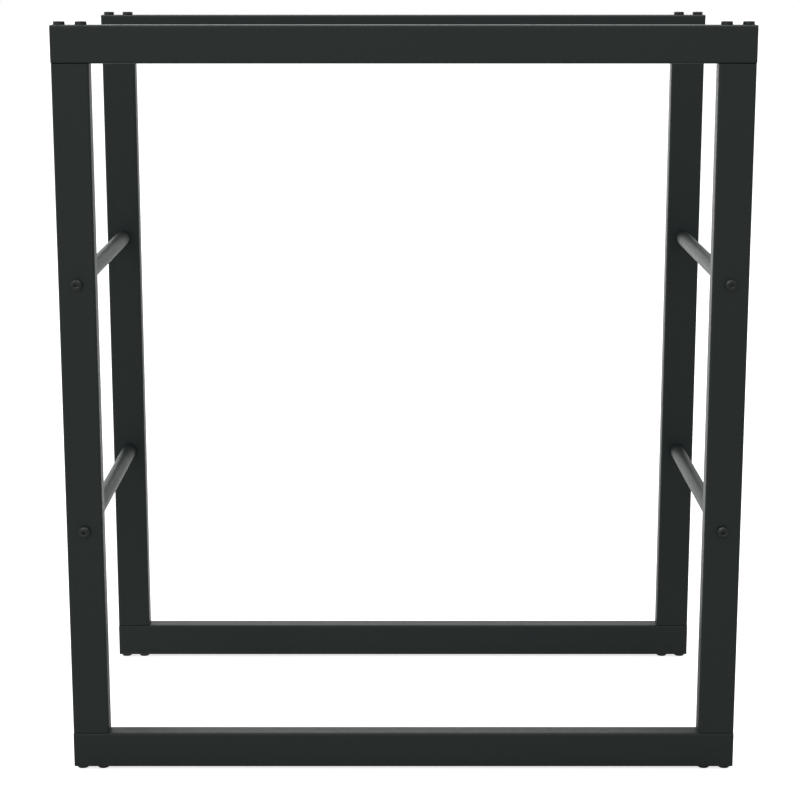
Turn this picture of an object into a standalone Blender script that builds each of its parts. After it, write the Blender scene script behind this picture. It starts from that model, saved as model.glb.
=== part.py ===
"""Free-standing firewood log rack, bolted together from powder-coated steel tube.

Two upright rectangular frames stand one behind the other, and two round rods on each side join them. Each
frame is two rails that lie over and under two posts. Screws go down through the rails into nut plates in the
posts' ends, and through the posts into threaded inserts in the rods' ends. The rack rests on the heads of the
screws under its bottom rails.

Metres, +Z up. The front faces -Y, left is -X, and the origin is on the floor under the middle of the rack.
"""

import math

import bmesh
import bpy
from mathutils import Matrix, Vector

# The rack as a whole
RACK_WIDTH = 0.500  # a rail, from one cut end to the other
FRAME_HEIGHT = 0.555  # underside of the bottom rail to top of the top rail
RACK_DEPTH = 0.275  # front face of the front frame to rear face of the rear frame
ROD_SPACING = 0.185  # lower rods to upper rods, centred on the frame's height

# Rectangular tube of the rails and posts
TUBE_FACE = 0.027  # the broad side, which faces the front
TUBE_SIDE = 0.015  # the narrow side, which runs front to back
TUBE_WALL = 0.0012
TUBE_INNER_CORNER = 0.0006  # inside radius of the tube's corners
TUBE_CORNER_STEPS = 3

# Round side rods
ROD_DIAMETER = 0.012
ROD_WALL = 0.0012
ROD_CHAMFER = 0.0004
ROD_SIDES = 20

# Low socket screws: flat cap heads at the corners, button heads at the rods
SCREW_DIAMETER = 0.005
SCREW_TIP_CHAMFER = 0.0006
HEAD_DIAMETER = 0.0085
HEAD_HEIGHT = 0.0022
CAP_SHOULDER = 0.00065  # radius that rounds the cap head's top edge
BUTTON_RIM = 0.0011  # height of the upright edge round the button head's dome
BUTTON_LAND = 0.0003  # flat ring between the socket's corners and the dome
HEX_ACROSS_FLATS = 0.003
HEX_DEPTH = 0.0016
HEAD_STEPS = 3
SCREW_SIDES = 16
CORNER_SCREW_INSET = 0.00575  # from a post's side face to the nearer screw's axis
CORNER_SCREW_TAIL = 0.0014  # screw tip past the nut plate
ROD_SCREW_GRIP = 0.0094  # screw inside the rod's insert

# Pieces inside the tubes
NUT_PLATE_THICKNESS = 0.006
NUT_PLATE_CORNER = 0.001
INSERT_LENGTH = 0.012
PLUG_DEPTH = 0.0115
PLUG_FACE = 0.0022  # thickness of the plug's end face
PLUG_CORNER = 0.001
PLUG_LEAD_IN = 0.0007  # chamfer on the plug's cheeks, where it enters the tube

# Clearances
SEAT_GAP = 0.0003  # between two pieces that touch
DRILL_CLEARANCE = 0.00025  # round a screw in a drilled hole, on the radius
THREAD_CLEARANCE = 0.0002  # round a screw in a threaded hole, on the radius
PLUG_SLOT_CLEARANCE = 0.001  # between a screw and the plug's cheeks
CUTTER_MARGIN = 0.002  # how far a cutter reaches past what it cuts
HOLE_SIDES = 12

# What follows from them
TUBE_CORNER = TUBE_INNER_CORNER + TUBE_WALL
BORE_FACE = TUBE_FACE - 2 * TUBE_WALL
BORE_SIDE = TUBE_SIDE - 2 * TUBE_WALL
FRAME_BASE = HEAD_HEIGHT + SEAT_GAP
FRAME_TOP = FRAME_BASE + FRAME_HEIGHT
FRAME_MIDDLE = FRAME_BASE + FRAME_HEIGHT / 2
FRAME_Y = (RACK_DEPTH - TUBE_SIDE) / 2
POST_X = (RACK_WIDTH - TUBE_FACE) / 2
RAIL_RISE = (FRAME_HEIGHT - TUBE_FACE) / 2
POST_LENGTH = FRAME_HEIGHT - 2 * TUBE_FACE - 2 * SEAT_GAP
ROD_LENGTH = RACK_DEPTH - 2 * TUBE_SIDE - 2 * SEAT_GAP
CORNER_SCREW_OFFSET = TUBE_FACE / 2 - CORNER_SCREW_INSET
CORNER_SCREW_LENGTH = TUBE_FACE + 2 * SEAT_GAP + NUT_PLATE_THICKNESS + CORNER_SCREW_TAIL
ROD_SCREW_LENGTH = TUBE_SIDE + 2 * SEAT_GAP + ROD_SCREW_GRIP
DRILL_RADIUS = SCREW_DIAMETER / 2 + DRILL_CLEARANCE
THREAD_RADIUS = SCREW_DIAMETER / 2 + THREAD_CLEARANCE

# Names and the sign of each place
FRAMES = (("front", -1), ("rear", 1))
SIDES = (("left", -1), ("right", 1))
LEVELS = (("bottom", -1), ("top", 1))
ROD_LEVELS = (("lower", -1), ("upper", 1))

ALONG_X = Matrix.Rotation(math.pi / 2, 4, "Y")
ALONG_Y = Matrix.Rotation(math.pi / 2, 4, "X")


def new_collection(name):
    collection = bpy.data.collections.new(name)
    bpy.context.scene.collection.children.link(collection)
    return collection


def new_material(name, colour, roughness, metallic):
    material = bpy.data.materials.new(name)
    material.use_nodes = True
    shader = material.node_tree.nodes["Principled BSDF"]
    shader.inputs["Base Color"].default_value = (*colour, 1)
    shader.inputs["Roughness"].default_value = roughness
    shader.inputs["Metallic"].default_value = metallic
    return material


def new_object(name, collection, build):
    """An object whose mesh the function build makes in a bmesh."""
    mesh = bpy.data.meshes.new(name)
    shape = bmesh.new()
    build(shape)
    shape.to_mesh(mesh)
    shape.free()
    obj = bpy.data.objects.new(name, mesh)
    collection.objects.link(obj)
    return obj


def finished_mesh(obj, material):
    """The object's mesh with its modifiers applied, for every copy of the piece to share."""
    graph = bpy.context.evaluated_depsgraph_get()
    mesh = bpy.data.meshes.new_from_object(obj.evaluated_get(graph))
    mesh.name = obj.name
    mesh.shade_smooth()
    mesh.set_sharp_from_angle(angle=math.radians(35))
    mesh.materials.clear()
    mesh.materials.append(material)
    bpy.data.objects.remove(obj)
    return mesh


def place(name, mesh, at, turn=Matrix()):
    """A named piece with its own centre put at a point, after a turn."""
    piece = bpy.data.objects.new(name, mesh)
    piece.matrix_world = Matrix.Translation(at) @ turn
    rack.objects.link(piece)


def add_box(shape, size, centre=(0, 0, 0)):
    bmesh.ops.create_cube(shape, size=1, matrix=Matrix.LocRotScale(Vector(centre), None, Vector(size)))


def add_cylinder(shape, radius, length, centre, turn, sides=HOLE_SIDES):
    where = Matrix.Translation(centre) @ turn
    bmesh.ops.create_cone(
        shape, cap_ends=True, segments=sides, radius1=radius, radius2=radius, depth=length, matrix=where
    )


def cut(obj, cutter):
    """Takes the cutter's shape out of the object."""
    cutter.display_type = "WIRE"
    cutter.hide_render = True
    boolean = obj.modifiers.new(cutter.name, "BOOLEAN")
    boolean.operation = "DIFFERENCE"
    boolean.solver = "EXACT"
    boolean.object = cutter


def round_edges(obj, radius, steps):
    bevel = obj.modifiers.new("rounded_edges", "BEVEL")
    bevel.limit_method = "ANGLE"
    bevel.width = radius
    bevel.segments = steps


def turned(name, profile, closed, sides):
    """A turned piece. The profile holds (radius, height) points and runs down the outer side."""

    def build(shape):
        points = [shape.verts.new((radius, 0, height)) for radius, height in profile]
        for upper, lower in zip(points, points[1:]):
            shape.edges.new((upper, lower))
        if closed:
            shape.edges.new((points[-1], points[0]))

    obj = new_object(name, rack, build)
    lathe = obj.modifiers.new("lathe", "SCREW")
    lathe.steps = sides
    lathe.render_steps = sides
    lathe.use_merge_vertices = True
    lathe.merge_threshold = 0.00001
    return obj


def tube_mesh(name, length, holes, turn, reach):
    """Rectangular tube along Z, drilled through both walls at each (x, y, z) in holes."""

    def sleeve(shape):
        add_box(shape, (TUBE_FACE, TUBE_SIDE, length))
        ends = [face for face in shape.faces if abs(face.normal.z) > 0.5]
        bmesh.ops.delete(shape, geom=ends, context="FACES_ONLY")

    def drills(shape):
        for hole in holes:
            add_cylinder(shape, DRILL_RADIUS, reach + 2 * CUTTER_MARGIN, hole, turn)

    tube = new_object(name, rack, sleeve)
    round_edges(tube, TUBE_CORNER, TUBE_CORNER_STEPS)
    wall = tube.modifiers.new("wall", "SOLIDIFY")
    wall.thickness = TUBE_WALL
    wall.offset = -1
    wall.use_even_offset = True
    cut(tube, new_object(name + "_drills", cutters, drills))
    return finished_mesh(tube, powder_coat)


def rail_mesh():
    """A rail lies along Z here, with its broad side across X, until it is placed along X."""
    holes = []
    for _, side in SIDES:
        for offset in (-CORNER_SCREW_OFFSET, CORNER_SCREW_OFFSET):
            holes.append((0, 0, side * (POST_X + offset)))
    return tube_mesh("rail", RACK_WIDTH, holes, ALONG_X, TUBE_FACE)


def post_mesh():
    holes = [(0, 0, level * ROD_SPACING / 2) for _, level in ROD_LEVELS]
    return tube_mesh("post", POST_LENGTH, holes, ALONG_Y, TUBE_SIDE)


def rod_mesh():
    outer = ROD_DIAMETER / 2
    inner = outer - ROD_WALL
    end = ROD_LENGTH / 2
    profile = [
        (outer - ROD_CHAMFER, end),
        (outer, end - ROD_CHAMFER),
        (outer, ROD_CHAMFER - end),
        (outer - ROD_CHAMFER, -end),
        (inner, -end),
        (inner, end),
    ]
    return finished_mesh(turned("rod", profile, True, ROD_SIDES), powder_coat)


def insert_mesh():
    """Threaded bush that is flush with the rod's end."""
    outer = ROD_DIAMETER / 2 - ROD_WALL - SEAT_GAP
    end = INSERT_LENGTH / 2
    profile = [(outer, end), (outer, -end), (THREAD_RADIUS, -end), (THREAD_RADIUS, end)]
    return finished_mesh(turned("insert", profile, True, HOLE_SIDES), zinc_steel)


def nut_plate_mesh():
    """Steel plate across a post's end, with a threaded hole for each corner screw."""

    def plate(shape):
        add_box(shape, (BORE_FACE - 2 * SEAT_GAP, BORE_SIDE - 2 * SEAT_GAP, NUT_PLATE_THICKNESS))
        upright = [edge for edge in shape.edges if abs(edge.verts[0].co.z - edge.verts[1].co.z) > SEAT_GAP]
        bmesh.ops.bevel(shape, geom=upright, offset=NUT_PLATE_CORNER, segments=2, profile=0.5, affect="EDGES")

    def taps(shape):
        for x in (-CORNER_SCREW_OFFSET, CORNER_SCREW_OFFSET):
            add_cylinder(shape, THREAD_RADIUS, NUT_PLATE_THICKNESS + 2 * CUTTER_MARGIN, (x, 0, 0), Matrix())

    obj = new_object("nut_plate", rack, plate)
    cut(obj, new_object("nut_plate_taps", cutters, taps))
    return finished_mesh(obj, zinc_steel)


def plug_mesh():
    """Plug for a rail's cut end: a face at z = 0 and two cheeks below it that straddle the outer corner screw."""
    across = BORE_SIDE - 2 * SEAT_GAP
    slot_depth = PLUG_DEPTH - PLUG_FACE
    slot_width = SCREW_DIAMETER + 2 * PLUG_SLOT_CLEARANCE

    def block(shape):
        add_box(shape, (BORE_FACE - 2 * SEAT_GAP, across, PLUG_DEPTH), (0, 0, -PLUG_DEPTH / 2))
        upright = [edge for edge in shape.edges if abs(edge.verts[0].co.z - edge.verts[1].co.z) > SEAT_GAP]
        bmesh.ops.bevel(shape, geom=upright, offset=PLUG_CORNER, segments=2, profile=0.5, affect="EDGES")
        foot = [edge for edge in shape.edges if max(v.co.z for v in edge.verts) < -PLUG_DEPTH / 2]
        bmesh.ops.bevel(shape, geom=foot, offset=PLUG_LEAD_IN, segments=1, profile=0.5, affect="EDGES")

    def slot(shape):
        size = (BORE_FACE + 2 * CUTTER_MARGIN, slot_width, slot_depth + CUTTER_MARGIN)
        add_box(shape, size, (0, 0, -PLUG_FACE - size[2] / 2))

    obj = new_object("plug", rack, block)
    cut(obj, new_object("plug_slot", cutters, slot))
    return finished_mesh(obj, plug_plastic)


def cap_head():
    """Points down a cap head, from its flat top round its shoulder to its upright edge."""
    top = HEAD_DIAMETER / 2 - CAP_SHOULDER
    for step in range(HEAD_STEPS + 1):
        angle = math.pi / 2 * step / HEAD_STEPS
        yield top + CAP_SHOULDER * math.sin(angle), HEAD_HEIGHT - CAP_SHOULDER * (1 - math.cos(angle))


def button_head():
    """Points down a button head's dome, an arc about the axis from its flat ring to its upright edge."""
    flat = HEX_ACROSS_FLATS / math.sqrt(3) + BUTTON_LAND
    rim = HEAD_DIAMETER / 2
    rise = HEAD_HEIGHT - BUTTON_RIM
    centre = (flat**2 + HEAD_HEIGHT**2 - rim**2 - BUTTON_RIM**2) / (2 * rise)
    radius = math.hypot(rim, BUTTON_RIM - centre)
    start = math.asin(flat / radius)
    end = math.atan2(rim, BUTTON_RIM - centre)
    for step in range(HEAD_STEPS + 1):
        angle = start + (end - start) * step / HEAD_STEPS
        yield radius * math.sin(angle), centre + radius * math.cos(angle)


def screw_mesh(name, head, length):
    """Screw with its bearing face at z = 0, its head above and its shank below."""
    shank = SCREW_DIAMETER / 2
    socket = HEX_ACROSS_FLATS / math.sqrt(3)
    profile = [
        (0, HEAD_HEIGHT),
        *head,
        (HEAD_DIAMETER / 2, 0),
        (shank, 0),
        (shank, SCREW_TIP_CHAMFER - length),
        (shank - SCREW_TIP_CHAMFER, -length),
        (0, -length),
    ]

    def hex_key(shape):
        depth = HEX_DEPTH + CUTTER_MARGIN
        add_cylinder(shape, socket, depth, (0, 0, HEAD_HEIGHT - HEX_DEPTH + depth / 2), Matrix(), sides=6)

    obj = turned(name, profile, False, SCREW_SIDES)
    cut(obj, new_object(name + "_hex_key", cutters, hex_key))
    return finished_mesh(obj, black_screw)


def add_rails(rail, plug):
    for frame, y in FRAMES:
        for level, z in LEVELS:
            name = f"{frame}_{level}_rail"
            height = FRAME_MIDDLE + z * RAIL_RISE
            place(name, rail, (0, y * FRAME_Y, height), ALONG_X)
            for side, x in SIDES:
                facing = Matrix.Rotation(x * math.pi / 2, 4, "Y")
                place(f"{name}_{side}_plug", plug, (x * RACK_WIDTH / 2, y * FRAME_Y, height), facing)


def add_posts(post, nut_plate):
    plate_rise = (POST_LENGTH - NUT_PLATE_THICKNESS) / 2
    for frame, y in FRAMES:
        for side, x in SIDES:
            name = f"{frame}_{side}_post"
            place(name, post, (x * POST_X, y * FRAME_Y, FRAME_MIDDLE))
            for level, z in LEVELS:
                at = (x * POST_X, y * FRAME_Y, FRAME_MIDDLE + z * plate_rise)
                place(f"{name}_{level}_nut_plate", nut_plate, at)


def add_rods(rod, insert):
    insert_y = (ROD_LENGTH - INSERT_LENGTH) / 2
    for side, x in SIDES:
        for level, z in ROD_LEVELS:
            name = f"{side}_{level}_rod"
            height = FRAME_MIDDLE + z * ROD_SPACING / 2
            place(name, rod, (x * POST_X, 0, height), ALONG_Y)
            for frame, y in FRAMES:
                place(f"{name}_{frame}_insert", insert, (x * POST_X, y * insert_y, height), ALONG_Y)


def add_corner_screws(screw):
    """A pair at each corner, with heads up on the top rails and down under the bottom rails."""
    for frame, y in FRAMES:
        for level, z in LEVELS:
            bearing = FRAME_MIDDLE + z * (FRAME_HEIGHT / 2 + SEAT_GAP)
            upright = Matrix() if z > 0 else Matrix.Rotation(math.pi, 4, "X")
            for side, x in SIDES:
                for where, way in (("inner", -1), ("outer", 1)):
                    at = (x * (POST_X + way * CORNER_SCREW_OFFSET), y * FRAME_Y, bearing)
                    place(f"{frame}_{level}_{side}_{where}_screw", screw, at, upright)


def add_rod_screws(screw):
    """One through each post into each rod, with its head on the rack's front or rear."""
    for frame, y in FRAMES:
        outward = Matrix.Rotation(-y * math.pi / 2, 4, "X")
        for side, x in SIDES:
            for level, z in ROD_LEVELS:
                height = FRAME_MIDDLE + z * ROD_SPACING / 2
                at = (x * POST_X, y * (RACK_DEPTH / 2 + SEAT_GAP), height)
                place(f"{frame}_{side}_{level}_rod_screw", screw, at, outward)


for leftover in list(bpy.data.objects):
    bpy.data.objects.remove(leftover)

rack = new_collection("firewood_log_rack")
cutters = new_collection("cutters")

powder_coat = new_material("black_powder_coat", (0.024, 0.027, 0.028), 0.5, 0.0)
black_screw = new_material("black_screw", (0.02, 0.021, 0.022), 0.38, 0.5)
plug_plastic = new_material("black_plug_plastic", (0.02, 0.02, 0.021), 0.55, 0.0)
zinc_steel = new_material("zinc_plated_steel", (0.55, 0.56, 0.58), 0.35, 1.0)

add_rails(rail_mesh(), plug_mesh())
add_posts(post_mesh(), nut_plate_mesh())
add_rods(rod_mesh(), insert_mesh())
add_corner_screws(screw_mesh("corner_screw", cap_head(), CORNER_SCREW_LENGTH))
add_rod_screws(screw_mesh("rod_screw", button_head(), ROD_SCREW_LENGTH))
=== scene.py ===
# %% [markdown]
# # A firewood log rack in black powder-coated steel
#
# This lesson dresses a finished model of an indoor log rack. The rack is two upright rectangular frames of
# steel tube, one behind the other, joined by two round rods on each side. Screws with flat cap heads hold its
# corners, and screws with button heads hold its rods. The fixed frame gives every part at its real size and
# place, in metres, with the front facing -Y. Here each part that can be seen is modelled again with the fine
# edges that light finds, and gets its finish.

# %% Load the fixed frame
import math

import bmesh
import bpy
from mathutils import Matrix, Vector


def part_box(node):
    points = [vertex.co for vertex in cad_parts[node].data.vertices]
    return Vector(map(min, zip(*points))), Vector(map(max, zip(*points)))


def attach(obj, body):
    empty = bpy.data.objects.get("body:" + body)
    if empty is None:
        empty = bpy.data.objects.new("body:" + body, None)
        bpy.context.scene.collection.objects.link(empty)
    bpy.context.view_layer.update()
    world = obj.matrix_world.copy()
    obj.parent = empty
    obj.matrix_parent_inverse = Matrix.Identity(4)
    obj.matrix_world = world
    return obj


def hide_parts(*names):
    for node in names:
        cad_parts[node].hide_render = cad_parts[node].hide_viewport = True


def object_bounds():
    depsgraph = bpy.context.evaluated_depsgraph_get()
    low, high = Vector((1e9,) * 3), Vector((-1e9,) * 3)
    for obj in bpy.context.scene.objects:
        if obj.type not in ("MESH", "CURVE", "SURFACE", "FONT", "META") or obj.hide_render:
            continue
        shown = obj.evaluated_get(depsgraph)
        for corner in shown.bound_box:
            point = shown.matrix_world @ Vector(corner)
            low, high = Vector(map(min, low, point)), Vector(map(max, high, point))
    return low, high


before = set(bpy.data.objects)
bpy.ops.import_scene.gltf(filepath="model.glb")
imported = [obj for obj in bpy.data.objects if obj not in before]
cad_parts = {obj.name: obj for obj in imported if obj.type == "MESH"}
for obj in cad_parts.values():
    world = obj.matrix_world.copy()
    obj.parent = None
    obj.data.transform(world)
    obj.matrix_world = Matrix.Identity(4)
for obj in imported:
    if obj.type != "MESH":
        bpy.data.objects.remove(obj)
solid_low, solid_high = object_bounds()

print("solids from", tuple(solid_low), "to", tuple(solid_high))

# %% [markdown]
# ## Reading sizes from the frame
#
# A part is never placed by eye. Its lowest and highest corner come from the solid that it dresses, so a
# rack of another size would dress itself. Two parts that touch on the real rack stand a hair apart in the
# solids. Most of that hair is closed here, so that no light leaks through a joint that is screwed tight.

# %% Sizes and places
MM = 0.001


def corners(node):
    low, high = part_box(node)
    return Vector(low), Vector(high)


def middle(node):
    low, high = corners(node)
    return (low + high) / 2


rail_low, rail_high = corners("front_top_rail")
post_low, post_high = corners("front_left_post")
rod_low, rod_high = corners("left_upper_rod")
RAIL_LENGTH = rail_high.x - rail_low.x
POST_LENGTH = post_high.z - post_low.z
TUBE_FACE = rail_high.z - rail_low.z
TUBE_SIDE = rail_high.y - rail_low.y
ROD_LENGTH = rod_high.y - rod_low.y
ROD_RADIUS = (rod_high.z - rod_low.z) / 2
JOINT_HAIR = rail_low.z - post_high.z
SEAM = 0.02 * MM  # what is left open at a joint
FRONT_FACE = rail_low.y
print(f"tube {TUBE_FACE / MM:.1f} x {TUBE_SIDE / MM:.1f} mm, hair {JOINT_HAIR / MM:.2f} mm")

# %% [markdown]
# ## The camera
#
# A rack for a catalogue is taken from a little above its top rail, with a long lens, so that the rear frame
# shows inside the front one. The camera stands 1.5 m in front of the front frame, almost on its middle, and
# tilts down until the whole rack is in the picture.

# %% Place the camera
CAMERA_AWAY = 1.4876
CAMERA_ASIDE = -0.0027
CAMERA_HEIGHT = 0.6041
CAMERA_PITCH = math.radians(-12.014)
CAMERA_LENS = 93.6
FILM_WIDTH = 36

bpy.ops.object.camera_add(
    location=(CAMERA_ASIDE, FRONT_FACE - CAMERA_AWAY, CAMERA_HEIGHT),
    rotation=(math.pi / 2 + CAMERA_PITCH, 0, 0),
)
camera = bpy.context.object
camera.data.lens = CAMERA_LENS
camera.data.sensor_width = FILM_WIDTH
camera.data.clip_end = 100
bpy.context.scene.camera = camera
bpy.context.scene.view_settings.view_transform = "Standard"
print(f"camera {CAMERA_AWAY} m away, {CAMERA_HEIGHT} m up")

# %% [markdown]
# ## Colours
#
# Colours are written as a painter's hex value, which is how a screen shows them. Light adds up in linear
# values, so one function turns each hex value into what a shader needs.

# %% Turn a hex colour to linear
def colour(text):
    """A hex colour as the four linear values that a shader socket takes."""
    shades = [int(text[i : i + 2], 16) / 255 for i in (1, 3, 5)]
    return (*(s / 12.92 if s <= 0.04045 else ((s + 0.055) / 1.055) ** 2.4 for s in shades), 1)


# %% [markdown]
# ## Nodes
#
# A material is a small graph. One function adds any node, sets it up and wires its inputs, so that each
# recipe below reads from top to bottom like a list of steps.

# %% Add a node with its settings and links
def add(tree, kind, settings=None, inputs=None):
    """A node with its settings made and its inputs set to values or wired to other sockets."""
    node = tree.nodes.new(kind)
    for name, value in (settings or {}).items():
        setattr(node, name, value)
    for name, value in (inputs or {}).items():
        if isinstance(value, bpy.types.NodeSocket):
            tree.links.new(value, node.inputs[name])
        else:
            node.inputs[name].default_value = value
    return node


def empty_material(name):
    material = bpy.data.materials.new(name)
    material.use_nodes = True
    material.node_tree.nodes.clear()
    return material


# %% [markdown]
# ## Powder coat
#
# The tubes are sprayed with black polyester powder and baked, which gives a satin-matt skin about 0.08 mm
# thick. As it melts it draws into shallow waves a few millimetres apart, called orange peel, with a fine
# grit of filler on top. Both are far too low to see as shapes, but they break up what the skin reflects. The
# grit's true grain of about 0.1 mm is drawn at 0.35 mm, which is as fine as a close look can show. The grit
# also dulls the sheen, so the skin's IOR is 1.3 where clear polyester has 1.5.

# %% Mix the powder coat
def powder_coat():
    material = empty_material("black_polyester_powder_coat")
    tree = material.node_tree
    place = add(tree, "ShaderNodeTexCoord").outputs["Object"]
    peel_scale = 1 / (4 * MM)
    grit_scale = 1 / (0.35 * MM)
    peel = add(tree, "ShaderNodeTexNoise", {}, {"Vector": place, "Scale": peel_scale, "Detail": 1.0})
    grit = add(tree, "ShaderNodeTexNoise", {}, {"Vector": place, "Scale": grit_scale, "Detail": 2.0})
    waves = add(
        tree, "ShaderNodeBump", {}, {"Strength": 0.25, "Distance": 0.02 * MM, "Height": peel.outputs["Fac"]}
    )
    grain = add(
        tree,
        "ShaderNodeBump",
        {},
        {
            "Strength": 0.2,
            "Distance": 0.012 * MM,
            "Height": grit.outputs["Fac"],
            "Normal": waves.outputs["Normal"],
        },
    )
    gloss = add(
        tree,
        "ShaderNodeMapRange",
        {},
        {"Value": peel.outputs["Fac"], "From Min": 0.3, "From Max": 0.7, "To Min": 0.5, "To Max": 0.55},
    )
    tone = add(tree, "ShaderNodeValToRGB", {}, {"Fac": grit.outputs["Fac"]})
    tone.color_ramp.elements[0].position = 0.3
    tone.color_ramp.elements[0].color = colour("#0c1312")
    tone.color_ramp.elements[1].position = 0.7
    tone.color_ramp.elements[1].color = colour("#101817")
    skin = add(
        tree,
        "ShaderNodeBsdfPrincipled",
        {},
        {
            "Base Color": tone.outputs["Color"],
            "Roughness": gloss.outputs["Result"],
            "IOR": 1.3,
            "Normal": grain.outputs["Normal"],
        },
    )
    add(tree, "ShaderNodeOutputMaterial", {}, {"Surface": skin.outputs["BSDF"]})
    return material


coat = powder_coat()
print("mixed:", coat.name)

# %% [markdown]
# ## Blackened screws
#
# The screws are steel, turned and then blackened in a hot bath. They are smoother than the powder coat, so
# their heads catch the lamps, and they stay metal under the black, so all that they show is reflected. The
# bath leaves their gloss faintly patchy.

# %% Mix the screw finish
def black_steel():
    material = empty_material("blackened_steel")
    tree = material.node_tree
    place = add(tree, "ShaderNodeTexCoord").outputs["Object"]
    patches = add(tree, "ShaderNodeTexNoise", {}, {"Vector": place, "Scale": 1 / (1.2 * MM), "Detail": 3.0})
    gloss = add(
        tree,
        "ShaderNodeMapRange",
        {},
        {"Value": patches.outputs["Fac"], "From Min": 0.3, "From Max": 0.7, "To Min": 0.2, "To Max": 0.28},
    )
    bump = add(
        tree,
        "ShaderNodeBump",
        {},
        {"Strength": 0.15, "Distance": 0.01 * MM, "Height": patches.outputs["Fac"]},
    )
    steel = add(
        tree,
        "ShaderNodeBsdfPrincipled",
        {},
        {
            "Base Color": colour("#2c2f2e"),
            "Metallic": 1.0,
            "Roughness": gloss.outputs["Result"],
            "Normal": bump.outputs["Normal"],
        },
    )
    add(tree, "ShaderNodeOutputMaterial", {}, {"Surface": steel.outputs["BSDF"]})
    return material


screw_finish = black_steel()
print("mixed:", screw_finish.name)

# %% [markdown]
# ## Plug plastic and hidden steel
#
# The plugs in the rails' ends are moulded polyethylene. The mould is finely spark-eroded, which leaves them
# soft-looking, with a grain a little coarser than the coat's. The nut plates and inserts inside the tubes are
# bright zinc plate, whose gloss varies a little from spot to spot.

# %% Mix the plastic and the zinc
def plug_plastic():
    material = empty_material("black_polyethylene")
    tree = material.node_tree
    place = add(tree, "ShaderNodeTexCoord").outputs["Object"]
    spark = add(tree, "ShaderNodeTexNoise", {}, {"Vector": place, "Scale": 1 / (0.4 * MM), "Detail": 2.0})
    bump = add(
        tree, "ShaderNodeBump", {}, {"Strength": 0.3, "Distance": 0.02 * MM, "Height": spark.outputs["Fac"]}
    )
    plastic = add(
        tree,
        "ShaderNodeBsdfPrincipled",
        {},
        {"Base Color": colour("#131414"), "Roughness": 0.6, "Normal": bump.outputs["Normal"]},
    )
    add(tree, "ShaderNodeOutputMaterial", {}, {"Surface": plastic.outputs["BSDF"]})
    return material


def zinc_plate():
    material = empty_material("bright_zinc_plate")
    tree = material.node_tree
    place = add(tree, "ShaderNodeTexCoord").outputs["Object"]
    grain = add(tree, "ShaderNodeTexNoise", {}, {"Vector": place, "Scale": 1 / (0.8 * MM), "Detail": 4.0})
    gloss = add(
        tree,
        "ShaderNodeMapRange",
        {},
        {"Value": grain.outputs["Fac"], "To Min": 0.25, "To Max": 0.45},
    )
    zinc = add(
        tree,
        "ShaderNodeBsdfPrincipled",
        {},
        {"Base Color": colour("#c3c6ca"), "Metallic": 1.0, "Roughness": gloss.outputs["Result"]},
    )
    add(tree, "ShaderNodeOutputMaterial", {}, {"Surface": zinc.outputs["BSDF"]})
    return material


plastic = plug_plastic()
zinc = zinc_plate()
print("mixed:", plastic.name, "and", zinc.name)

# %% [markdown]
# ## Picking by place
#
# By hand, a face is clicked. In a script it is picked by where it lies or which way it looks. These helpers
# open a piece in edit mode with nothing selected, select what passes a test, and leave edit mode again.

# %% Helpers for edit mode
SQUARE_ON = 0.9  # a face whose normal has this much of a direction looks that way


def start_edit(piece):
    """Opens a piece in edit mode with nothing selected."""
    bpy.ops.object.select_all(action="DESELECT")
    piece.select_set(True)
    bpy.context.view_layer.objects.active = piece
    bpy.ops.object.mode_set(mode="EDIT")
    bpy.ops.mesh.select_all(action="DESELECT")


def pick_faces(piece, test):
    """Selects the faces whose centre and normal pass the test, and nothing else."""
    bpy.ops.mesh.select_mode(type="FACE")
    bpy.ops.mesh.select_all(action="DESELECT")
    shape = bmesh.from_edit_mesh(piece.data)
    for face in shape.faces:
        face.select_set(test(face.calc_center_median(), face.normal))
    bmesh.update_edit_mesh(piece.data)


def pick_edges(piece, test):
    """Selects the edges whose two ends pass the test, and nothing else."""
    bpy.ops.mesh.select_mode(type="EDGE")
    bpy.ops.mesh.select_all(action="DESELECT")
    shape = bmesh.from_edit_mesh(piece.data)
    for edge in shape.edges:
        edge.select_set(test(edge.verts[0].co, edge.verts[1].co))
    bmesh.update_edit_mesh(piece.data)


def end_edit():
    """Turns all faces outwards and leaves edit mode."""
    bpy.ops.mesh.select_all(action="SELECT")
    bpy.ops.mesh.normals_make_consistent(inside=False)
    bpy.ops.object.mode_set(mode="OBJECT")


# %% [markdown]
# Some steps work on whole pieces. A piece's place goes into its mesh, holes are cut out with Booleans, and
# smooth shading is limited by an angle, with its normals weighted by area so that broad faces look flat. At
# last a piece is named for its solid, gets its material, and stands for that solid.

# %% Helpers for whole pieces
def apply_place(piece):
    """Puts the object's place, turn and scale into its mesh."""
    bpy.ops.object.select_all(action="DESELECT")
    piece.select_set(True)
    bpy.context.view_layer.objects.active = piece
    bpy.ops.object.transform_apply(location=True, rotation=True, scale=True)


def drill(piece, cutters):
    """Takes the cutters out of the piece, one after another, and removes them."""
    bpy.context.view_layer.objects.active = piece
    for cutter in cutters:
        hole = piece.modifiers.new("hole", "BOOLEAN")
        hole.operation = "DIFFERENCE"
        hole.solver = "EXACT"
        hole.object = cutter
        bpy.ops.object.modifier_apply(modifier=hole.name)
        bpy.data.objects.remove(cutter)


SHARP_ANGLE = math.radians(30)


def smooth(piece):
    """Shades curves smooth and keeps corners sharp, with the broad faces flat."""
    bpy.ops.object.select_all(action="DESELECT")
    piece.select_set(True)
    bpy.context.view_layer.objects.active = piece
    bpy.ops.object.shade_smooth_by_angle(angle=SHARP_ANGLE)
    weigh = piece.modifiers.new("weigh", "WEIGHTED_NORMAL")
    weigh.keep_sharp = True
    bpy.ops.object.modifier_apply(modifier=weigh.name)


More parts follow.
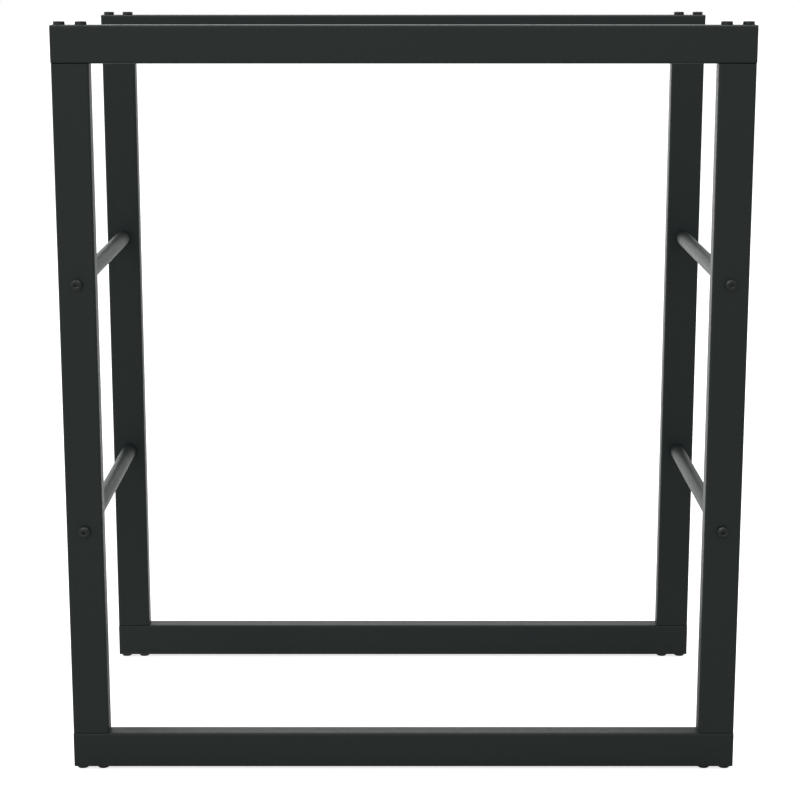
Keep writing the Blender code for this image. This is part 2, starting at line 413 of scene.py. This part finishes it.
def dress(piece, node, material):
    """Lets a finished piece stand for a solid."""
    piece.name = node + "_skin"
    piece.data.name = piece.name
    piece.data.materials.clear()
    piece.data.materials.append(material)
    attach(piece, "root")
    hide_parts(node)


def dress_copy(master, node, material, place):
    """A copy of a modelled piece with its own mesh, moved and turned to where its solid is."""
    piece = master.copy()
    piece.data = master.data.copy()
    bpy.context.scene.collection.objects.link(piece)
    piece.matrix_world = place
    apply_place(piece)
    dress(piece, node, material)


# %% [markdown]
# ## Rectangular tube
#
# The rails and posts are cut from cold-rolled tube, 27 by 15 mm with a 1.2 mm wall. Rolling leaves its
# corners round, and that curve carries the thin light line along every rail. A box is made at full size, its
# four long edges are bevelled round, both ends are inset by the wall, and the two inner faces are bridged,
# which opens the bore. A saw leaves the ends square, and the coat softens their rims.

# %% Model a length of tube
TUBE_WALL = 1.2 * MM
TUBE_CORNER = 1.8 * MM
COAT_ROUND = 0.4 * MM  # how far the coat rounds a sawn rim
NEAR_END = 0.49  # a point further from the middle than this much of the length is at an end


def at_one_end(a, b, length):
    """Whether an edge lies in the end plane of a length along Z, and doesn't run from end to end."""
    return min(abs(a.z), abs(b.z)) > NEAR_END * length and a.z * b.z > 0


def tube(length, side):
    """A tube along Z about the origin, with its broad side across X."""
    bpy.ops.object.select_all(action="DESELECT")
    bpy.ops.mesh.primitive_cube_add(size=1, scale=(TUBE_FACE, side, length))
    piece = bpy.context.object
    apply_place(piece)
    start_edit(piece)
    pick_edges(piece, lambda a, b: abs(a.z - b.z) > length / 2)
    bpy.ops.mesh.bevel(offset=TUBE_CORNER, segments=8, affect="EDGES")
    pick_faces(piece, lambda centre, normal: abs(normal.z) > SQUARE_ON)
    bpy.ops.mesh.inset(thickness=TUBE_WALL, depth=0)
    bpy.ops.mesh.bridge_edge_loops()
    inner_x = TUBE_FACE / 2 - TUBE_WALL / 2
    inner_y = side / 2 - TUBE_WALL / 2

    def on_outer_rim(a, b):
        outside = all(abs(point.x) > inner_x or abs(point.y) > inner_y for point in (a, b))
        return at_one_end(a, b, length) and outside

    pick_edges(piece, on_outer_rim)
    bpy.ops.mesh.bevel(offset=COAT_ROUND, segments=3, affect="EDGES")
    end_edit()
    return piece


HOLE_RADIUS = 2.75 * MM
PAST_BOTH_WALLS = 1.5  # how much longer a drill bit is than its tube is deep


def drill_bit(centre, turn, depth):
    """A round cutter, long enough to go through both walls of a tube that is as deep as this."""
    bpy.ops.object.select_all(action="DESELECT")
    bpy.ops.mesh.primitive_cylinder_add(vertices=32, radius=HOLE_RADIUS, depth=PAST_BOTH_WALLS * depth)
    bit = bpy.context.object
    bit.matrix_world = Matrix.Translation(centre) @ turn
    apply_place(bit)
    return bit


# %% [markdown]
# ## Rails
#
# A rail runs the full width of the rack, over or under its two posts. Two screws go down through each end,
# so each end is drilled twice through both walls. All four rails are the same piece, laid on its side.

# %% Model the rail and copy it to its four places
ACROSS = Matrix.Rotation(math.pi / 2, 4, "Y")
BACKWARDS = Matrix.Rotation(math.pi / 2, 4, "X")

screw_names = [
    f"front_top_{side}_{which}_screw" for side in ("left", "right") for which in ("inner", "outer")
]
rail = tube(RAIL_LENGTH, TUBE_SIDE)
drill(rail, [drill_bit((0, 0, -middle(name).x), ACROSS, TUBE_FACE) for name in screw_names])
smooth(rail)
for name in ("front_top_rail", "front_bottom_rail", "rear_top_rail", "rear_bottom_rail"):
    dress_copy(rail, name, coat, Matrix.Translation(middle(name)) @ ACROSS)
bpy.data.objects.remove(rail)
print("rails:", 4)

# %% [markdown]
# ## Posts
#
# A post stands between two rails. It is drilled front to back where each rod meets it. Its ends bear on the
# rails, and its faces stand a little back from theirs, so that a rail's round edge runs on past the post as a
# thin light line. Flush faces would leave only a dark notch there.

# %% Model the post and copy it to its four places
SET_BACK = 0.4 * MM  # how far a post's face stands behind a rail's

post = tube(POST_LENGTH + 2 * (JOINT_HAIR - SEAM), TUBE_SIDE - 2 * SET_BACK)
rod_levels = [middle(f"left_{level}_rod").z - middle("front_left_post").z for level in ("lower", "upper")]
drill(post, [drill_bit((0, 0, z), BACKWARDS, TUBE_SIDE) for z in rod_levels])
smooth(post)
for name in ("front_left_post", "front_right_post", "rear_left_post", "rear_right_post"):
    dress_copy(post, name, coat, Matrix.Translation(middle(name)))
bpy.data.objects.remove(post)
print("posts:", 4)

# %% [markdown]
# ## Rods
#
# The rods are round tube, butted against the posts. A cylinder gets its ends inset by the wall and bridged,
# as the rectangular tube did, and a small bevel on each rim where the coat has rounded it.

# %% Model the rod and copy it to its four places
ROD_WALL = 1.2 * MM
ROD_RIM = 0.4 * MM


def rod_tube(length):
    """A round tube along Z about the origin."""
    bpy.ops.object.select_all(action="DESELECT")
    bpy.ops.mesh.primitive_cylinder_add(vertices=64, radius=ROD_RADIUS, depth=length)
    piece = bpy.context.object
    start_edit(piece)
    pick_faces(piece, lambda centre, normal: abs(normal.z) > SQUARE_ON)
    bpy.ops.mesh.inset(thickness=ROD_WALL, depth=0)
    bpy.ops.mesh.bridge_edge_loops()

    def on_outer_rim(a, b):
        middle_of_wall = ROD_RADIUS - ROD_WALL / 2
        return at_one_end(a, b, length) and min(a.xy.length, b.xy.length) > middle_of_wall

    pick_edges(piece, on_outer_rim)
    bpy.ops.mesh.bevel(offset=ROD_RIM, segments=3, affect="EDGES")
    end_edit()
    return piece


rod = rod_tube(ROD_LENGTH + 2 * (JOINT_HAIR - SEAM + SET_BACK))
smooth(rod)
for name in ("left_lower_rod", "left_upper_rod", "right_lower_rod", "right_upper_rod"):
    dress_copy(rod, name, coat, Matrix.Translation(middle(name)) @ BACKWARDS)
bpy.data.objects.remove(rod)
print("rods:", 4)

# %% [markdown]
# ## Rail end plugs
#
# A plastic plug is pushed into each cut end of each rail until its face is flush. Behind the face, two
# cheeks grip the broad walls and leave room between them for the outer corner screw. A plate is cut in three
# by two bisects, and the outer strips on its inner side are extruded into cheeks.

# %% Model the plug and copy it to the rails' eight ends
plug_low, plug_high = corners("front_top_rail_right_plug")
PLUG_DEPTH = plug_high.x - plug_low.x
PLUG_FACE = 2.2 * MM
PLUG_SLOT = 7 * MM
PLUG_CORNER = 0.7 * MM
PLUG_ROUND = 0.5 * MM  # how far the rim of its face is rounded
PLUG_GROW = 0.2 * MM  # the plug fills the tube's bore more tightly than its solid does


def end_plug():
    """A plug along Z, with its outer face at z = 0."""
    across = plug_high.z - plug_low.z + 2 * PLUG_GROW
    through = plug_high.y - plug_low.y + 2 * PLUG_GROW
    bpy.ops.object.select_all(action="DESELECT")
    bpy.ops.mesh.primitive_cube_add(
        size=1, location=(0, 0, -PLUG_FACE / 2), scale=(across, through, PLUG_FACE)
    )
    piece = bpy.context.object
    apply_place(piece)
    start_edit(piece)
    pick_edges(piece, lambda a, b: abs(a.z - b.z) > PLUG_FACE / 2)
    bpy.ops.mesh.bevel(offset=PLUG_CORNER, segments=5, affect="EDGES")
    for y in (-PLUG_SLOT / 2, PLUG_SLOT / 2):
        bpy.ops.mesh.select_all(action="SELECT")
        bpy.ops.mesh.bisect(plane_co=(0, y, 0), plane_no=(0, 1, 0))
    pick_faces(piece, lambda centre, normal: normal.z < -SQUARE_ON and abs(centre.y) > PLUG_SLOT / 2)
    bpy.ops.mesh.extrude_region_move(TRANSFORM_OT_translate={"value": (0, 0, PLUG_FACE - PLUG_DEPTH)})
    edge_x = across / 2 - 2 * PLUG_CORNER
    edge_y = through / 2 - 2 * PLUG_CORNER

    def on_face_rim(a, b):
        on_face = min(a.z, b.z) > -PLUG_FACE / 2
        at_broad_side = min(abs(a.y), abs(b.y)) > edge_y and a.y * b.y > 0
        at_narrow_side = min(abs(a.x), abs(b.x)) > edge_x and a.x * b.x > 0
        return on_face and (at_broad_side or at_narrow_side)

    pick_edges(piece, on_face_rim)
    bpy.ops.mesh.bevel(offset=PLUG_ROUND, segments=4, affect="EDGES")
    end_edit()
    return piece


plug = end_plug()
smooth(plug)
for rail_name in ("front_top_rail", "front_bottom_rail", "rear_top_rail", "rear_bottom_rail"):
    for side, way in (("left", -1), ("right", 1)):
        node = f"{rail_name}_{side}_plug"
        low, high = corners(node)
        face = high.x if way > 0 else low.x
        turn = Matrix.Rotation(way * math.pi / 2, 4, "Y")
        at = Vector((face, middle(node).y, middle(node).z))
        dress_copy(plug, node, plastic, Matrix.Translation(at) @ turn)
bpy.data.objects.remove(plug)
print("plugs:", 8)

# %% [markdown]
# ## Screws
#
# Every joint is held by a low screw with a hexagon socket. The corners have flat cap heads with a rounded
# shoulder, and the rods have button heads. Both start as a short cylinder. Its top face is inset again and
# again, each time a little higher, along an arc, and that gives the shoulder or the dome. A six-sided bit
# cuts the socket, and a cone cuts the shallow turned lead-in round its mouth, which glints on the side away
# from the lamp. The underside is inset and extruded into the shank.

# %% Model a screw
screw_low, screw_high = corners("front_top_left_outer_screw")
HEAD_HEIGHT = screw_high.z - rail_high.z - JOINT_HAIR
SHANK_RADIUS = 2.5 * MM
TIP_CHAMFER = 0.6 * MM
SOCKET_RADIUS = 1.5 * MM / math.cos(math.pi / 6)
SOCKET_DEPTH = 2.4 * MM
MOUTH_RADIUS = 2.4 * MM  # the socket's turned lead-in
MOUTH_DEPTH = 1.15 * MM  # how far down its slope would meet the axis
SHOULDER = 0.65 * MM
SHOULDER_STEPS = 6
DOME_RIM = 1.1 * MM  # height of the button head's upright edge
DOME_FLAT = 2.5 * MM  # radius of the flat round its socket
DOME_STEPS = 10


def cap_outline(radius):
    """(radius, height) points over a cap head's rounded shoulder, from the upright edge inwards."""
    angles = [math.pi / 2 * step / SHOULDER_STEPS for step in range(SHOULDER_STEPS + 1)]
    inner, lower = radius - SHOULDER, HEAD_HEIGHT - SHOULDER
    return [(inner + SHOULDER * math.cos(angle), lower + SHOULDER * math.sin(angle)) for angle in angles]


def button_outline(radius):
    """(radius, height) points over a button head's dome, from the upright edge inwards."""
    rise = HEAD_HEIGHT - DOME_RIM
    centre = (DOME_FLAT**2 + HEAD_HEIGHT**2 - radius**2 - DOME_RIM**2) / (2 * rise)
    bend = math.hypot(radius, DOME_RIM - centre)
    low = math.atan2(radius, DOME_RIM - centre)
    high = math.asin(DOME_FLAT / bend)
    angles = [low + (high - low) * step / DOME_STEPS for step in range(DOME_STEPS + 1)]
    return [(bend * math.sin(angle), centre + bend * math.cos(angle)) for angle in angles]


def screw(outline, length, seat):
    """A screw along Z, whose head rises from its seat and stands HEAD_HEIGHT above z = 0."""
    head_radius, rim = outline[0]
    bpy.ops.object.select_all(action="DESELECT")
    bpy.ops.mesh.primitive_cylinder_add(
        vertices=48, radius=head_radius, depth=rim - seat, location=(0, 0, (rim + seat) / 2)
    )
    piece = bpy.context.object
    apply_place(piece)
    start_edit(piece)
    pick_faces(piece, lambda centre, normal: normal.z > SQUARE_ON)
    for (outer, lower), (inner, upper) in zip(outline, outline[1:]):
        bpy.ops.mesh.inset(thickness=outer - inner, depth=upper - lower)
    pick_faces(piece, lambda centre, normal: normal.z < -SQUARE_ON)
    bpy.ops.mesh.inset(thickness=head_radius - SHANK_RADIUS, depth=0)
    bpy.ops.mesh.extrude_region_move(TRANSFORM_OT_translate={"value": (0, 0, -length - seat)})
    pick_edges(piece, lambda a, b: max(a.z, b.z) < TIP_CHAMFER / 2 - length)
    bpy.ops.mesh.bevel(offset=TIP_CHAMFER, segments=1, affect="EDGES")
    end_edit()
    bpy.ops.object.select_all(action="DESELECT")
    bpy.ops.mesh.primitive_cylinder_add(
        vertices=6, radius=SOCKET_RADIUS, depth=2 * SOCKET_DEPTH, location=(0, 0, HEAD_HEIGHT)
    )
    key = bpy.context.object
    apply_place(key)
    bpy.ops.object.select_all(action="DESELECT")
    bpy.ops.mesh.primitive_cone_add(
        vertices=48,
        radius1=0,
        radius2=2 * MOUTH_RADIUS,
        depth=2 * MOUTH_DEPTH,
        location=(0, 0, HEAD_HEIGHT),
    )
    lead_in = bpy.context.object
    apply_place(lead_in)
    drill(piece, [key, lead_in])
    smooth(piece)
    return piece


# %% [markdown]
# The long screws go through the rails into the posts, with their heads up on the top rails and down under
# the bottom rails, where they are the rack's feet.

# %% Copy the corner screws to their places
cap_radius = (screw_high.x - screw_low.x) / 2
corner_screw = screw(cap_outline(cap_radius), screw_high.z - screw_low.z - HEAD_HEIGHT, SEAM - JOINT_HAIR)
for end in ("front", "rear"):
    for level, turn in (("top", Matrix()), ("bottom", Matrix.Rotation(math.pi, 4, "X"))):
        for side in ("left", "right"):
            for which in ("inner", "outer"):
                node = f"{end}_{level}_{side}_{which}_screw"
                low, high = corners(node)
                seat = high.z - HEAD_HEIGHT if level == "top" else low.z + HEAD_HEIGHT
                at = Vector((middle(node).x, middle(node).y, seat))
                dress_copy(corner_screw, node, screw_finish, Matrix.Translation(at) @ turn)
bpy.data.objects.remove(corner_screw)
print("corner screws:", 16)

# %% [markdown]
# The short screws go through the posts into the rods.

# %% Copy the rod screws to their places
side_low, side_high = corners("front_left_upper_rod_screw")
button_radius = (side_high.x - side_low.x) / 2
post_face = SEAM - JOINT_HAIR - SET_BACK
rod_screw = screw(button_outline(button_radius), side_high.y - side_low.y - HEAD_HEIGHT, post_face)
for end, way in (("front", 1), ("rear", -1)):
    for side in ("left", "right"):
        for level in ("lower", "upper"):
            node = f"{end}_{side}_{level}_rod_screw"
            low, high = corners(node)
            seat = low.y + HEAD_HEIGHT if end == "front" else high.y - HEAD_HEIGHT
            at = Vector((middle(node).x, seat, middle(node).z))
            turn = Matrix.Rotation(way * math.pi / 2, 4, "X")
            dress_copy(rod_screw, node, screw_finish, Matrix.Translation(at) @ turn)
bpy.data.objects.remove(rod_screw)
print("rod screws:", 8)

# %% [markdown]
# ## Hidden steel
#
# The nut plates and inserts stay as they are in the frame, because nothing shows of them. They only get
# their zinc.

# %% Plate the pieces inside the tubes
for node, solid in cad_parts.items():
    if node.endswith(("_nut_plate", "_insert")):
        solid.data.materials.clear()
        solid.data.materials.append(zinc)

# %% [markdown]
# ## Floor and light
#
# The rack stands in a white studio, on a wide sheet of matt paper. A glow that only the camera sees lifts the
# lit paper to white, so no more light falls on the rack, and a soft shadow stays under it. The coat and the
# metal see a glow too, a painted pool of light on the paper that only reflections show. It is weak in front
# of the rack, white behind it and stronger on the left. It paints the light strips on the posts' inner faces
# as reflections.

# %% Lay the paper floor
FLOOR_SIZE = 40
PAPER_LIFT = 0.75  # the camera's glow, which comes on top of the lit paper
# The numbers below shape a painted pool of light on the paper, which only reflections see.
POOL_START = -0.1  # the Y at which the glow in the gloss starts to rise
POOL_FULL = 0.5  # the Y at which it is white
POOL_FRONT = 0.15  # its strength in front
POOL_WHITE = 1.2  # its strength behind
POOL_LEFT = 0.56  # what the left has more of it than the middle, and the right less
POOL_SIDE = 0.5  # how far to each side that goes on


def white_floor():
    material = empty_material("white_paper_floor")
    tree = material.node_tree
    ray = add(tree, "ShaderNodeLightPath")
    place = add(tree, "ShaderNodeTexCoord").outputs["Object"]
    axes = add(tree, "ShaderNodeSeparateXYZ", {}, {"Vector": place})
    back = add(
        tree,
        "ShaderNodeMapRange",
        {"interpolation_type": "SMOOTHSTEP"},
        {
            "Value": axes.outputs["Y"],
            "From Min": POOL_START,
            "From Max": POOL_FULL,
            "To Min": POOL_FRONT,
            "To Max": POOL_WHITE,
        },
    )
    side = add(
        tree,
        "ShaderNodeMapRange",
        {"interpolation_type": "SMOOTHSTEP"},
        {
            "Value": axes.outputs["X"],
            "From Min": -POOL_SIDE,
            "From Max": POOL_SIDE,
            "To Min": 1.0 + POOL_LEFT,
            "To Max": 1.0 - POOL_LEFT,
        },
    )
    # painted pool of light: the paper glows for reflections only, more behind the rack and on the left
    painted_pool = add(
        tree,
        "ShaderNodeMath",
        {"operation": "MULTIPLY"},
        {0: back.outputs["Result"], 1: side.outputs["Result"]},
    )
    gloss = add(
        tree,
        "ShaderNodeMath",
        {"operation": "MULTIPLY"},
        {0: ray.outputs["Is Glossy Ray"], 1: painted_pool.outputs[0]},
    )
    lift = add(
        tree,
        "ShaderNodeMath",
        {"operation": "MULTIPLY_ADD"},
        {0: ray.outputs["Is Camera Ray"], 1: PAPER_LIFT, 2: gloss.outputs[0]},
    )
    paper = add(tree, "ShaderNodeBsdfDiffuse", {}, {"Color": colour("#b8b8b8")})
    glow = add(tree, "ShaderNodeEmission", {}, {"Color": colour("#ffffff"), "Strength": lift.outputs[0]})
    both = add(tree, "ShaderNodeAddShader", {}, {0: paper.outputs[0], 1: glow.outputs[0]})
    add(tree, "ShaderNodeOutputMaterial", {}, {"Surface": both.outputs[0]})
    return material


bpy.ops.object.select_all(action="DESELECT")
bpy.ops.mesh.primitive_plane_add(size=FLOOR_SIZE, location=(0, 0, 0))
floor = bpy.context.object
floor.name = "floor"
floor.data.materials.append(white_floor())
print(f"floor {FLOOR_SIZE} m wide")

# %% [markdown]
# A white dome lights the rack from all round, a little more from the left, and the camera sees it as plain
# white. Four soft lamps add to it. The one at the front left puts the glint on each screw head, the one near
# the front fills the right post, the one behind lights the inner faces, and the one overhead lights the tops
# of the rails.

# %% Raise the dome and hang the lamps
DOME_LEFT = 1.6  # the dome's strength on the left
DOME_RIGHT = 1.0  # its strength on the right
DOME_BLEND = 0.6  # how far to each side it goes on changing, where 1 is the horizon straight to the side


def studio_world():
    world = bpy.data.worlds.new("white_studio")
    world.use_nodes = True
    tree = world.node_tree
    tree.nodes.clear()
    ray = add(tree, "ShaderNodeLightPath")
    way = add(tree, "ShaderNodeTexCoord").outputs["Generated"]
    axes = add(tree, "ShaderNodeSeparateXYZ", {}, {"Vector": way})
    level = add(
        tree,
        "ShaderNodeMapRange",
        {"interpolation_type": "SMOOTHSTEP"},
        {
            "Value": axes.outputs["X"],
            "From Min": -DOME_BLEND,
            "From Max": DOME_BLEND,
            "To Min": DOME_LEFT,
            "To Max": DOME_RIGHT,
        },
    )
    white = colour("#ffffff")
    dome = add(tree, "ShaderNodeBackground", {}, {"Color": white, "Strength": level.outputs["Result"]})
    seen = add(tree, "ShaderNodeBackground", {}, {"Color": white, "Strength": 1.0})
    mix = add(
        tree,
        "ShaderNodeMixShader",
        {},
        {0: ray.outputs["Is Camera Ray"], 1: dome.outputs[0], 2: seen.outputs[0]},
    )
    add(tree, "ShaderNodeOutputWorld", {}, {"Surface": mix.outputs[0]})
    return world


bpy.context.scene.world = studio_world()


def soft_lamp(name, place, size, power):
    """A square lamp that faces the rack's middle."""
    bpy.ops.object.light_add(type="AREA", location=place)
    lamp = bpy.context.object
    lamp.name = name
    lamp.data.size = size
    lamp.data.energy = power
    aim = (solid_low + solid_high) / 2 - Vector(place)
    lamp.rotation_euler = aim.to_track_quat("-Z", "Y").to_euler()
    print(f"{name}: {power} W")


soft_lamp("front_left_softbox", place=(-1.15, -2.15, 1.8), size=0.5, power=10)
soft_lamp("near_front_softbox", place=(0.2, -1.1, 1.2), size=0.8, power=2.5)
soft_lamp("backdrop_softbox", place=(-0.4, 2.8, 0.9), size=2.0, power=10)
soft_lamp("overhead_softbox", place=(0.1, 0.9, 2.6), size=2.0, power=38)
